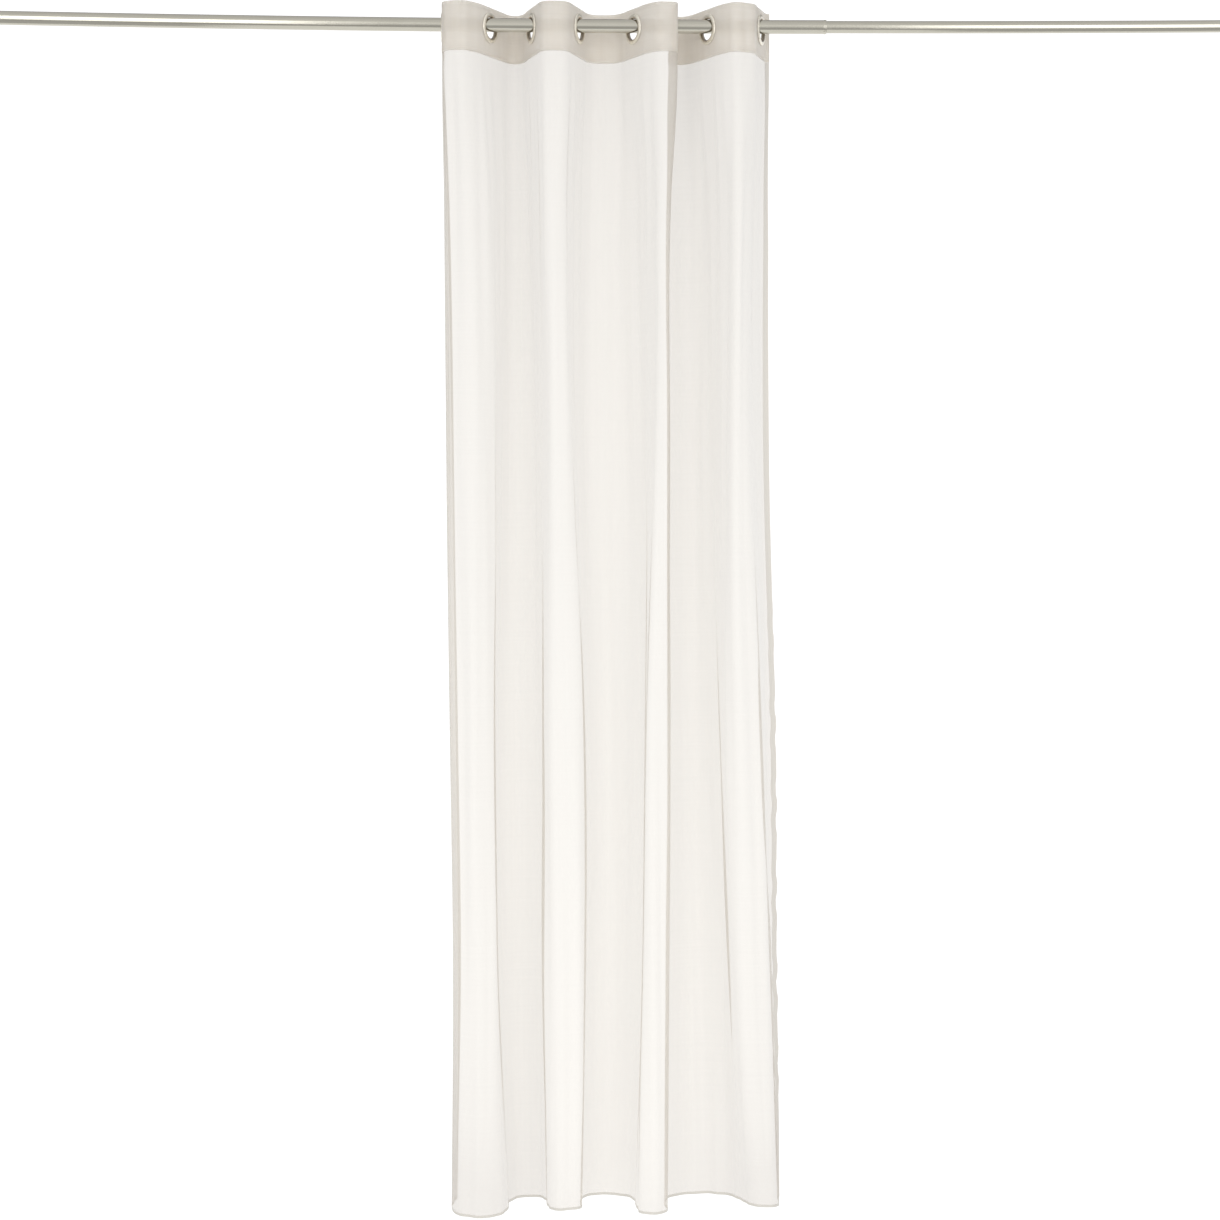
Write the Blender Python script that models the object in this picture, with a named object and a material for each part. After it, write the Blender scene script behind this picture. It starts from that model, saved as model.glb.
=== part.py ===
"""Sheer voile curtain with metal eyelets, hanging on a plain telescopic rod.

Metres, +Z up. The origin is on the rod's axis at the middle of the rod, +X runs along the rod,
and the side that faces the room is -Y.

The cloth is one strip that winds to and fro past the rod. Its plan at any depth comes from the
flanks, the eight places where it crosses the rod's line, and from the length of cloth that lies
in the bend between one flank and the next. The plan changes slowly from the rod to the hem.
"""

import math
from collections import namedtuple

import bmesh
import bpy
import numpy as np
from mathutils import Matrix, Vector

# Rod
OUTER_TUBE_RADIUS = 0.0140
INNER_TUBE_RADIUS = 0.0125
ROD_REACH = 1.295
TUBE_JOINT_X = 0.444
SOCKET_DEPTH = 0.180
ROD_SAG = 0.009
LIP_RADIUS = 0.0146
LIP_LENGTH = 0.005
LIP_ROUNDING = 0.0012
LIP_MOUTH_RADIUS = 0.0138
TUBE_SIDES = 24
SECTION_PITCH = 0.220

# Cloth, before it is gathered
CLOTH_WIDTH = 1.400
EYELET_PITCH = 0.186
EYELET_COUNT = 8
EDGE_MARGIN = 0.5 * (CLOTH_WIDTH - (EYELET_COUNT - 1) * EYELET_PITCH)
PANEL_THICKNESS = 0.0014
HEADING_THICKNESS = 0.0020

# Heights, from the rod's axis
TOP_EDGE = 0.036
HEADING_FOOT = -0.0645
HEM = -2.414

# Eyelets, and the gap that touching pieces keep
EYELET_OUTER_RADIUS = 0.0310
EYELET_BORE_RADIUS = 0.0210
EYELET_NECK_RADIUS = 0.0236
FLANGE_THICKNESS = 0.0028
FLANGE_RIM_SLOPE = 0.0030
BORE_ROUNDING = 0.0022
BORE_DEPTH = 0.0018
CROWN_FALL = 0.0003
EYELET_SIDES = 20
CUTTER_LENGTH = 0.020
PIECE_GAP = 0.0003

# Shape of the plan: half the straight run at a flank, and how far cloth creeps to wider bends
FLAT_HALF_AT_ROD = 0.0325
FLAT_HALF_BELOW = 0.0120
CREEP = 0.60
SETTLE_DEPTH = 0.45
BEND_STEPS = 32
EDGE_STEPS = 8
MOST_FULLNESS = 4.0

# Mesh density, halvings of a search, angles tried round a bore, and the sharpest smooth edge
COLUMNS_PER_PITCH = 12
PANEL_ROWS = 17
HALVINGS = 40
BORE_ANGLES = 240
SHARP_ANGLE = math.radians(40)

# The fold table gives each flank at these depths below the rod: heading's foot to hem
DEPTHS = np.array([-HEADING_FOOT, 0.36, 0.90, 1.45, 1.97, -HEM])

# A flank's place is its X in metres where it crosses the rod's line. Its turn is its angle from
# the rod in degrees: 90 goes straight to or from the room, and over 90 folds back under itself.
Flank = namedtuple("Flank", "place turn")
FLANKS = (
    Flank(place=(-0.341, -0.336, -0.329, -0.322, -0.316, -0.321), turn=(90, 94, 98, 99, 99, 97)),
    Flank(place=(-0.246, -0.234, -0.232, -0.234, -0.227, -0.209), turn=(62, 70, 80, 90, 93, 84)),
    Flank(place=(-0.160, -0.152, -0.139, -0.137, -0.137, -0.129), turn=(74, 76, 82, 92, 94, 86)),
    Flank(place=(-0.064, -0.074, -0.070, -0.053, -0.053, -0.059), turn=(70, 72, 80, 91, 95, 88)),
    Flank(place=(+0.049, +0.068, +0.078, +0.072, +0.066, +0.053), turn=(63, 67, 78, 92, 94, 88)),
    Flank(place=(+0.130, +0.119, +0.119, +0.119, +0.115, +0.113), turn=(97, 95, 94, 94, 94, 94)),
    Flank(place=(+0.201, +0.215, +0.222, +0.231, +0.239, +0.260), turn=(63, 66, 72, 82, 88, 70)),
    Flank(place=(+0.309, +0.301, +0.301, +0.316, +0.331, +0.346), turn=(73, 74, 76, 80, 86, 86)),
)

# The turn that each side edge bends to, at the same depths
LEFT_EDGE_TURN = (90, 96, 102, 103, 103, 103)
RIGHT_EDGE_TURN = (50, 40, 15, 5, 45, 80)

# How far the hem hangs below its mean height, at the two side edges and at each bend between
HemDrop = namedtuple("HemDrop", "left_edge front_1 back_1 front_2 back_2 front_3 back_3 front_4 right_edge")
HEM_DROP = HemDrop(-0.006, 0.009, 0.000, -0.005, -0.004, 0.005, -0.006, -0.009, -0.002)

Finish = namedtuple("Finish", "colour roughness metallic")
VOILE = Finish((0.87, 0.86, 0.81), 0.85, 0.0)
STIFFENED_VOILE = Finish((0.62, 0.55, 0.48), 0.80, 0.0)
SATIN_NICKEL = Finish((0.54, 0.52, 0.45), 0.34, 1.0)


def clear_scene():
    """Removes the objects of the file that the script starts in."""
    for obj in list(bpy.data.objects):
        bpy.data.objects.remove(obj, do_unlink=True)


def add_object(name, mesh, finish):
    """Links a mesh into the scene as one object with its own material."""
    obj = bpy.data.objects.new(name, mesh)
    bpy.context.scene.collection.objects.link(obj)
    material = bpy.data.materials.new(name)
    material.use_nodes = True
    shader = material.node_tree.nodes["Principled BSDF"]
    shader.inputs["Base Color"].default_value = (*finish.colour, 1.0)
    shader.inputs["Roughness"].default_value = finish.roughness
    shader.inputs["Metallic"].default_value = finish.metallic
    obj.data.materials.append(material)
    return obj


def mesh_of(name, points, faces, face_out=True):
    """A mesh from points and faces, its faces turned outwards when it is closed."""
    mesh = bpy.data.meshes.new(name)
    mesh.from_pydata([tuple(point) for point in points], [], faces)
    if face_out:
        shape = bmesh.new()
        shape.from_mesh(mesh)
        bmesh.ops.recalc_face_normals(shape, faces=shape.faces)
        shape.to_mesh(mesh)
        shape.free()
    return mesh


def smooth_value(depths, values, depth):
    """The value at a depth on a smooth cubic through a table row, level at its start."""
    values = np.asarray(values, dtype=float)
    slopes = np.gradient(values, depths)
    slopes[0] = 0.0
    part = int(np.clip(np.searchsorted(depths, depth) - 1, 0, len(depths) - 2))
    span = depths[part + 1] - depths[part]
    t = float(np.clip((depth - depths[part]) / span, 0.0, 1.0))
    return (
        (2 * t**3 - 3 * t**2 + 1) * values[part]
        + (t**3 - 2 * t**2 + t) * span * slopes[part]
        + (3 * t**2 - 2 * t**3) * values[part + 1]
        + (t**3 - t**2) * span * slopes[part + 1]
    )


def heading(turn, to_room):
    """Unit direction of the cloth in plan at a turn in degrees, towards the room or away."""
    side = -1.0 if to_room else 1.0
    return np.array([math.cos(math.radians(turn)), side * math.sin(math.radians(turn))])


def bend_curve(start, start_way, end, end_way, fullness):
    """A bend from start to end that leaves and arrives along the given directions.

    A fullness from 0 to 1 rounds it out from a straight chord to a half circle. Past 1 the bend
    is first carried on straight from both ends, by that much of the chord.
    """
    chord = np.linalg.norm(end - start)
    run = max(fullness - 1.0, 0.0) * chord
    first = start + run * start_way
    last = end - run * end_way
    pull = 2.0 * min(fullness, 1.0) * np.linalg.norm(last - first)
    t = np.linspace(0.0, 1.0, BEND_STEPS)[:, None]
    arc = (
        (2 * t**3 - 3 * t**2 + 1) * first
        + (t**3 - 2 * t**2 + t) * pull * start_way
        + (3 * t**2 - 2 * t**3) * last
        + (t**3 - t**2) * pull * end_way
    )
    return np.vstack([start, arc, end])


def length_along(points):
    """Distance along a polyline from its first point to each of its points."""
    steps = np.linalg.norm(np.diff(points, axis=0), axis=1)
    return np.concatenate([[0.0], np.cumsum(steps)])


def bend_of_length(start, start_way, end, end_way, length):
    """The bend whose fullness makes it as long as the cloth that lies in it."""
    low = 0.0
    high = MOST_FULLNESS
    for _ in range(HALVINGS):
        middle = 0.5 * (low + high)
        bend = bend_curve(start, start_way, end, end_way, middle)
        if length_along(bend)[-1] < length:
            low = middle
        else:
            high = middle
    return bend_curve(start, start_way, end, end_way, high)


def edge_strip(corner, way_out, turn_near, turn_far, to_room, length):
    """The strip from a flank to a side edge, whose turn goes evenly from near to far."""
    step = length / EDGE_STEPS
    points = [corner]
    for turn in np.linspace(turn_near, turn_far, EDGE_STEPS):
        points.append(points[-1] + way_out * step * heading(turn, to_room))
    return np.array(points)


def fold_plan(depth):
    """Plan of the whole cloth at a depth below the rod, and the cloth's width at each point."""
    places = [smooth_value(DEPTHS, flank.place, depth) for flank in FLANKS]
    turns = [smooth_value(DEPTHS, flank.turn, depth) for flank in FLANKS]
    left_turn = smooth_value(DEPTHS, LEFT_EDGE_TURN, depth)
    right_turn = smooth_value(DEPTHS, RIGHT_EDGE_TURN, depth)
    settled = smooth_value(np.array([-HEADING_FOOT, SETTLE_DEPTH]), (0.0, 1.0), depth)
    flat_half = FLAT_HALF_AT_ROD + settled * (FLAT_HALF_BELOW - FLAT_HALF_AT_ROD)
    ways = [heading(turn, index % 2 == 0) for index, turn in enumerate(turns)]
    centres = [np.array([place, 0.0]) for place in places]
    mean_step = (places[-1] - places[0]) / (EYELET_COUNT - 1)

    first = centres[0] - flat_half * ways[0]
    strip = edge_strip(first, -1.0, turns[0], left_turn, True, EDGE_MARGIN - flat_half)
    runs = [strip[::-1]]
    for index in range(EYELET_COUNT - 1):
        start = centres[index] + flat_half * ways[index]
        end = centres[index + 1] - flat_half * ways[index + 1]
        wider = places[index + 1] - places[index] - mean_step
        cloth = EYELET_PITCH + settled * CREEP * wider - 2.0 * flat_half
        runs.append(bend_of_length(start, ways[index], end, ways[index + 1], cloth))
    last = centres[-1] + flat_half * ways[-1]
    runs.append(edge_strip(last, 1.0, turns[-1], right_turn, False, EDGE_MARGIN - flat_half))
    plan = np.vstack(runs)
    width = length_along(plan)
    return plan, width * CLOTH_WIDTH / width[-1]


def column_widths():
    """The cloth's width at each mesh column: both edges, and even steps that meet every eyelet."""
    step = EYELET_PITCH / COLUMNS_PER_PITCH
    inner = [EDGE_MARGIN + step * index for index in range(-2, (EYELET_COUNT - 1) * COLUMNS_PER_PITCH + 3)]
    return np.array([0.0, *inner, CLOTH_WIDTH])


def hem_height(widths):
    """Height of the hem across the cloth's width, lower at some folds than at others."""
    bends = EDGE_MARGIN + EYELET_PITCH * (np.arange(EYELET_COUNT - 1) + 0.5)
    stations = np.concatenate([[0.0], bends, [CLOTH_WIDTH]])
    drops = [smooth_value(stations, HEM_DROP, width) for width in widths]
    return HEM - np.array(drops)


def sheet_points(heights):
    """Points of a sheet whose rows lie at the given heights, one row of heights per sheet row."""
    widths = column_widths()
    rows = []
    for row in heights:
        plan, plan_width = fold_plan(-float(np.mean(row)))
        x = np.interp(widths, plan_width, plan[:, 0])
        y = np.interp(widths, plan_width, plan[:, 1])
        rows.append(np.column_stack([x, y, row]))
    return np.array(rows)


def sheet_object(name, heights, thickness, finish):
    """A hung sheet: a grid of faces on the folds, given its thickness to both sides."""
    points = sheet_points(heights)
    rows, columns = points.shape[:2]
    faces = [
        (r * columns + c, r * columns + c + 1, (r + 1) * columns + c + 1, (r + 1) * columns + c)
        for r in range(rows - 1)
        for c in range(columns - 1)
    ]
    mesh = mesh_of(name, points.reshape(-1, 3), faces, face_out=False)
    obj = add_object(name, mesh, finish)
    solid = obj.modifiers.new("Cloth thickness", "SOLIDIFY")
    solid.thickness = thickness
    solid.offset = 0.0
    solid.use_even_offset = True
    return obj


def rod_height(x):
    """Height of the rod's axis, which sags a little towards its middle."""
    return ROD_SAG * (x / ROD_REACH) ** 2


def eyelet_profile():
    """Closed section of an eyelet, as (along its axis, radius): two flanges on a short neck."""
    grip = 0.5 * HEADING_THICKNESS + PIECE_GAP
    face = grip + FLANGE_THICKNESS
    half = [
        (grip, EYELET_NECK_RADIUS),
        (grip, EYELET_OUTER_RADIUS),
        (grip + 0.5 * FLANGE_THICKNESS, EYELET_OUTER_RADIUS),
        (face, EYELET_OUTER_RADIUS - FLANGE_RIM_SLOPE),
        (face - CROWN_FALL, EYELET_BORE_RADIUS + BORE_ROUNDING),
        (face - BORE_DEPTH, EYELET_BORE_RADIUS),
    ]
    return half + [(-along, radius) for along, radius in reversed(half)]


def eyelet_mesh():
    """The eyelet's section turned round its own Z axis."""
    profile = eyelet_profile()
    count = len(profile)
    points = []
    faces = []
    for side in range(EYELET_SIDES):
        angle = 2.0 * math.pi * side / EYELET_SIDES
        points += [(radius * math.cos(angle), radius * math.sin(angle), along) for along, radius in profile]
        near = side * count
        far = (side + 1) % EYELET_SIDES * count
        faces += [
            (near + i, near + (i + 1) % count, far + (i + 1) % count, far + i)
            for i in range(count)
        ]
    mesh = mesh_of("eyelet", points, faces)
    mesh.shade_smooth()
    mesh.set_sharp_from_angle(angle=SHARP_ANGLE)
    return mesh


def eyelet_drop(turn):
    """How far an eyelet's centre hangs below the rod's axis when its bore rests on the rod."""
    angles = np.linspace(0.0, 2.0 * math.pi, BORE_ANGLES)
    flat_sides = math.cos(math.pi / EYELET_SIDES)
    along, radius = np.array(eyelet_profile()).T
    across = math.sin(math.radians(turn))
    y = along[:, None] * math.cos(math.radians(turn)) + flat_sides * radius[:, None] * np.cos(angles) * across
    z = flat_sides * radius[:, None] * np.sin(angles)
    low = 0.0
    high = EYELET_BORE_RADIUS
    for _ in range(HALVINGS):
        middle = 0.5 * (low + high)
        if np.min(np.hypot(y, z - middle)) > OUTER_TUBE_RADIUS + PIECE_GAP:
            low = middle
        else:
            high = middle
    return low


def eyelet_places():
    """Centre of each eyelet and its axis, square to the flank that it is pressed through."""
    places = []
    for index, flank in enumerate(FLANKS):
        place = flank.place[0]
        turn = flank.turn[0]
        centre = Vector((place, 0.0, rod_height(place) - eyelet_drop(turn)))
        way = heading(turn, index % 2 == 0)
        places.append((centre, Vector((-way[1], way[0], 0.0))))
    return places


def hole_cutter(places):
    """Guide that cuts the heading's holes: one short round bar on each eyelet's axis."""
    shape = bmesh.new()
    radius = (EYELET_NECK_RADIUS + PIECE_GAP) / math.cos(math.pi / TUBE_SIDES)
    for centre, axis in places:
        bmesh.ops.create_cone(
            shape,
            cap_ends=True,
            segments=TUBE_SIDES,
            radius1=radius,
            radius2=radius,
            depth=CUTTER_LENGTH,
            matrix=Matrix.Translation(centre) @ axis.to_track_quat("Z", "Y").to_matrix().to_4x4(),
        )
    mesh = bpy.data.meshes.new("hole_cutter")
    shape.to_mesh(mesh)
    shape.free()
    cutter = bpy.data.objects.new("hole_cutter", mesh)
    bpy.context.scene.collection.objects.link(cutter)
    cutter.hide_render = True
    cutter.display_type = "WIRE"
    return cutter


def heading_band(places):
    """The stiffened strip along the top, with a round hole for each eyelet's neck."""
    columns = len(column_widths())
    heights = [np.full(columns, TOP_EDGE), np.full(columns, HEADING_FOOT)]
    band = sheet_object("heading_band", heights, HEADING_THICKNESS, STIFFENED_VOILE)
    holes = band.modifiers.new("Eyelet holes", "BOOLEAN")
    holes.operation = "DIFFERENCE"
    holes.solver = "EXACT"
    holes.object = hole_cutter(places)
    return band


def voile_panel():
    """The sheer cloth from the heading's foot to the hem."""
    top = HEADING_FOOT - PIECE_GAP
    hem = hem_height(column_widths())
    heights = [top + part * (hem - top) for part in np.linspace(0.0, 1.0, PANEL_ROWS)]
    return sheet_object("voile_panel", heights, PANEL_THICKNESS, VOILE)


def turned_bar(name, sections):
    """A round bar along the rod's axis from (x, radius) sections, closed at both ends."""
    points = []
    for x, radius in sections:
        for side in range(TUBE_SIDES):
            angle = 2.0 * math.pi * (side + 0.5) / TUBE_SIDES
            points.append((x, radius * math.cos(angle), rod_height(x) + radius * math.sin(angle)))
    faces = []
    for near in range(0, (len(sections) - 1) * TUBE_SIDES, TUBE_SIDES):
        far = near + TUBE_SIDES
        faces += [
            (near + i, near + (i + 1) % TUBE_SIDES, far + (i + 1) % TUBE_SIDES, far + i)
            for i in range(TUBE_SIDES)
        ]
    last = (len(sections) - 1) * TUBE_SIDES
    faces.append(tuple(range(TUBE_SIDES)))
    faces.append(tuple(range(last, last + TUBE_SIDES)))
    mesh = mesh_of(name, points, faces)
    mesh.shade_smooth()
    mesh.set_sharp_from_angle(angle=SHARP_ANGLE)
    return add_object(name, mesh, SATIN_NICKEL)


def even_sections(start, end, radius):
    """Sections of one radius from start to end, close enough together to follow the sag."""
    count = max(2, round(abs(end - start) / SECTION_PITCH) + 1)
    return [(x, radius) for x in np.linspace(start, end, count)]


def telescopic_rod():
    """The thicker tube with its rolled lip and socket, and the thinner tube that slides in it."""
    lip_start = TUBE_JOINT_X - LIP_LENGTH
    socket_end = TUBE_JOINT_X - SOCKET_DEPTH
    socket_radius = INNER_TUBE_RADIUS + PIECE_GAP
    outer = even_sections(-ROD_REACH, lip_start, OUTER_TUBE_RADIUS)
    outer += [
        (lip_start + LIP_ROUNDING, LIP_RADIUS),
        (TUBE_JOINT_X - LIP_ROUNDING, LIP_RADIUS),
        (TUBE_JOINT_X, LIP_MOUTH_RADIUS),
    ]
    outer += even_sections(TUBE_JOINT_X, socket_end, socket_radius)
    turned_bar("rod_outer_tube", outer)
    turned_bar("rod_inner_tube", even_sections(socket_end + PIECE_GAP, ROD_REACH, INNER_TUBE_RADIUS))


def eyelets(places):
    """One eyelet at each flank, its axis square to the cloth there."""
    for number, (centre, axis) in enumerate(places, start=1):
        ring = add_object(f"eyelet_{number}", eyelet_mesh(), SATIN_NICKEL)
        ring.location = centre
        ring.rotation_euler = axis.to_track_quat("Z", "Y").to_euler()


def main():
    """Builds the whole curtain and its rod."""
    clear_scene()
    places = eyelet_places()
    telescopic_rod()
    eyelets(places)
    heading_band(places)
    voile_panel()


main()
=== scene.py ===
"""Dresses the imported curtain: sheer voile in its folds, stitched hems, eyelets and the nickel rod.

The cloth's plan at any depth is worked out from its eight flanks, the places where it crosses the
rod's line, and the length of cloth between them, so that the whole width of the cut cloth lies in
the folds. Every surface is a function of two parameters on a grid. Metres, +Z up, room at -Y.
"""

import math

import bpy
import numpy as np
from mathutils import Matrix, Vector


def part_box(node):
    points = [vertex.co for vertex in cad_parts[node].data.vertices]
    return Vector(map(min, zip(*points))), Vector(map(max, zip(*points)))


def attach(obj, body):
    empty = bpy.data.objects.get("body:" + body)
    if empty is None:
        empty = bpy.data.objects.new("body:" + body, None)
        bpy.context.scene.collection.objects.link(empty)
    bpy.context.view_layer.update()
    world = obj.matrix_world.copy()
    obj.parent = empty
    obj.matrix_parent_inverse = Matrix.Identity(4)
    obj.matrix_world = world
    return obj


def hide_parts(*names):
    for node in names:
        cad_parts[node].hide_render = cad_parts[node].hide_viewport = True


bl_info = {
    "name": "Sheer Voile Curtain",
    "version": (1, 0, 0),
    "blender": (4, 5, 0),
    "location": "View3D > Sidebar > Curtain",
    "description": "Builds a sheer eyelet curtain and its rod around a packed frame",
    "category": "Object",
}

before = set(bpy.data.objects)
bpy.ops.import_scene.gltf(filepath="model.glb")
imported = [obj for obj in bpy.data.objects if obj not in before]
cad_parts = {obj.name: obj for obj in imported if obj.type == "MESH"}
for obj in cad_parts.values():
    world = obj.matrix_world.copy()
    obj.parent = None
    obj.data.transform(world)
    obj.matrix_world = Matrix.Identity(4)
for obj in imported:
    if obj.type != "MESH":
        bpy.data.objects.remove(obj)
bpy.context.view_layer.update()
BODY = "root"

# Sizes that the frame's solids give
HEADING_LOW, HEADING_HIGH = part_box("heading_band")
EYELET_LOW, EYELET_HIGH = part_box("eyelet_4")
EYELET_DEPTH = -0.5 * (EYELET_LOW.z + EYELET_HIGH.z)
TUBE_JOINT_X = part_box("rod_outer_tube")[1].x
ROD_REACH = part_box("rod_inner_tube")[1].x

# Cut cloth and the places of its eyelets across the width
CLOTH_WIDTH = 1.400
EYELET_COUNT = 8
EYELET_PITCH = 0.186
EDGE_MARGIN = 0.5 * (CLOTH_WIDTH - (EYELET_COUNT - 1) * EYELET_PITCH)
TOP_DEPTH = -HEADING_HIGH.z
HEADING_DEPTH = -HEADING_LOW.z
HEM_DEPTH = 2.414
HEM_SPARE = 0.020
PANEL_DROP = HEM_DEPTH - HEADING_DEPTH
FULL_DROP = HEM_DEPTH + HEM_SPARE - TOP_DEPTH

# Shape of the plan: half the straight run at a flank, and how far cloth creeps to wider bends
FLAT_HALF_AT_ROD = 0.0325
FLAT_HALF_BELOW = 0.0120
CREEP = 0.60
SETTLE_DEPTH = 0.45
BEND_STEPS = 48
EDGE_STEPS = 12
PLAN_ROWS = 150
PLAN_COLUMNS = 1401
PLAN_STEP = 0.0015
MOST_FULLNESS = 4.0
HALVINGS = 40

# The flanks, left to right, at each of DEPTHS. place: X in metres. turn: the cloth's angle from
# the rod in degrees; over 90 it folds back under itself.
DEPTHS = np.array([HEADING_DEPTH, 0.36, 0.90, 1.45, 1.97, HEM_DEPTH])
FLANKS = (
    {"place": (-0.341, -0.336, -0.329, -0.322, -0.316, -0.321), "turn": (90, 94, 98, 99, 99, 97)},
    {"place": (-0.246, -0.234, -0.232, -0.234, -0.227, -0.209), "turn": (62, 70, 80, 90, 93, 84)},
    {"place": (-0.160, -0.152, -0.139, -0.137, -0.137, -0.129), "turn": (74, 76, 80, 89, 93, 86)},
    {"place": (-0.064, -0.074, -0.070, -0.053, -0.053, -0.059), "turn": (70, 72, 80, 91, 95, 88)},
    {"place": (+0.049, +0.068, +0.078, +0.072, +0.066, +0.053), "turn": (63, 67, 78, 92, 94, 88)},
    {"place": (+0.130, +0.119, +0.119, +0.119, +0.115, +0.113), "turn": (96, 92, 91, 91, 92, 93)},
    {"place": (+0.201, +0.215, +0.221, +0.226, +0.243, +0.264), "turn": (63, 66, 72, 82, 88, 70)},
    {"place": (+0.309, +0.301, +0.301, +0.316, +0.331, +0.346), "turn": (71, 68, 71, 78, 86, 86)},
)
LEFT_EDGE_TURN = (90, 96, 102, 103, 103, 103)
RIGHT_EDGE_TURN = (20, 25, 15, 5, 45, 80)

# How far the hem hangs below its mean: left edge, the seven bends from left to right, right edge
HEM_DROPS = (-0.006, 0.009, 0.000, -0.005, -0.004, 0.005, -0.006, -0.009, -0.002)

# Creases in the voile: the line from (width, depth) to (width, depth), its reach to each side,
# and how far it is pushed away from the room, all in metres
CREASES = (
    {"start": (0.408, 1.46), "end": (0.428, 2.26), "reach": 0.012, "push": 0.003},
    {"start": (0.236, 1.10), "end": (0.246, 2.34), "reach": 0.014, "push": 0.003},
    {"start": (0.612, 1.40), "end": (0.602, 2.38), "reach": 0.012, "push": -0.002},
    {"start": (0.800, 1.35), "end": (0.786, 2.38), "reach": 0.012, "push": 0.002},
    {"start": (1.132, 1.18), "end": (1.178, 2.34), "reach": 0.014, "push": 0.005},
    {"start": (1.318, 1.30), "end": (1.366, 1.86), "reach": 0.012, "push": 0.006},
)

# Flats pressed into the bends, front and back by turns: middle across the width, length of the
# cosine wave that makes it, and its height away from the room
FLATS = (
    {"middle": 0.123, "wave": 0.064, "height": +0.0034},
    {"middle": 0.340, "wave": 0.056, "height": -0.0024},
    {"middle": 0.514, "wave": 0.062, "height": +0.0034},
    {"middle": 0.700, "wave": 0.080, "height": -0.0030},
    {"middle": 0.897, "wave": 0.050, "height": +0.0028},
    {"middle": 1.060, "wave": 0.056, "height": -0.0024},
    {"middle": 1.275, "wave": 0.058, "height": +0.0034},
)
FLAT_REACH = 0.6

# Soft ripples over the whole cloth: wavelength across the width, height, drift with the depth
RIPPLES = (
    {"wave": 0.061, "height": 0.0011, "drift": 1.8, "phase": 0.4},
    {"wave": 0.043, "height": 0.0008, "drift": -3.4, "phase": 2.1},
    {"wave": 0.029, "height": 0.0005, "drift": 5.2, "phase": 4.4},
)
RIPPLE_WANDER = {"amount": 0.8, "down": 3.1, "across": 9.0}
RELIEF_START = 0.12
CREASE_TAPER = 0.7

# Gathers under the heading, which fade with the depth
GATHER_WAVE = 0.031
GATHER_HEIGHT = 0.0007
GATHER_DEPTH = 0.30
GATHER_WANDER = {"amount": 1.7, "across": 11.0}

# Puckers of the right edge: where they rise and fade, and the lengths of their two waves
PUCKER_HEIGHT = 0.0012
PUCKER_REACH = 0.030
PUCKER_RISE = {"depth": 1.10, "over": 0.30}
PUCKER_FADE = {"depth": 2.30, "over": 0.25}
PUCKER_WAVES = (0.083, 0.057)
PUCKER_SECOND = {"share": 0.7, "phase": 1.1}

# Grids of the cloth: cells across and down the panel and its hems, and round the heading's patches
PANEL_CELLS = {"across": 312, "down": 138, "side_hem": 4, "bottom_hem": 2}
HEADING_CELLS = {"edge": 4, "between": 26, "above": 3, "below": 6}
PANEL_TOP_GAP = 0.0003
WELD_REACH = 0.00001

# Heading thickness, hems and stitches. The voile is one thin sheet
HEADING_THICKNESS = 0.0014
SIDE_HEM = 0.012
BOTTOM_HEM = 0.005
STITCH_PITCH = 0.0042
STITCH_LENGTH = 0.0029
STITCH_RADIUS = 0.00032
STITCH_RINGS = 5
STITCH_SIDES = 4
STITCH_SINK = 0.4
STITCH_TIP = 0.35
STITCH_START = 0.15
STITCH_ROWS_IN = {"heading_top": 0.006, "heading_foot": 0.007, "side_top": 0.002, "side_foot": 0.012}
ROW_POINTS = {"across": 600, "down": 900}

# Looks of the cloths. slubs, streaks: scales of their noise across and down the cloth. The others
# are what threads, slubs and streaks add to the cover, the tone and the height of the weave
THREAD_MEAN = 0.64
NOISE_MEAN = 0.5
WEAVE_HEIGHT = 0.0002
SLUB_HEIGHT = 0.6
VOILE_LOOKS = {
    "slubs": (6.0, 900.0, 1.0),
    "streaks": (120.0, 1.5, 1.0),
    "cover": (0.12, 0.02, 0.02),
    "tone": (0.00, 0.12, 0.14),
}
HEADING_LOOKS = {
    "slubs": (8.0, 700.0, 1.0),
    "streaks": (90.0, 4.0, 1.0),
    "cover": (0.10, 0.00, 0.00),
    "tone": (0.00, 0.60, 0.90),
}
VOILE_TONE = 0.95
HEADING_TONE = 0.50

# Painted shade: darker tone towards the voile's top and foot, and more so at the foot's corners; fades per
# metre
TOP_PAINTED_SHADE = {"amount": 0.75, "fade": 3.0}
FOOT_PAINTED_SHADE = {"amount": 0.45, "corners": 1.25, "fade": 4.0}
HEM_TINT = {"all": 0.33, "bottom": 0.50}

# Looks of the thread and the metal: noise scales, and what brushing, clouds and grain change
TWIST_SCALE = 2400.0
BRUSH_GRAIN = (3.0, 500.0, 500.0)
CLOUD_SCALE = 18.0
BRUSH_SHARE = {"tone": 0.60, "roughness": 0.05}
CLOUD_SHARE = {"tone": 0.50, "roughness": 0.04}
EYELET_GRAIN = {"scale": 900.0, "roughness": 0.05}
RIM_METAL = 0.55
RIM_SOFTER = 0.12

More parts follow.
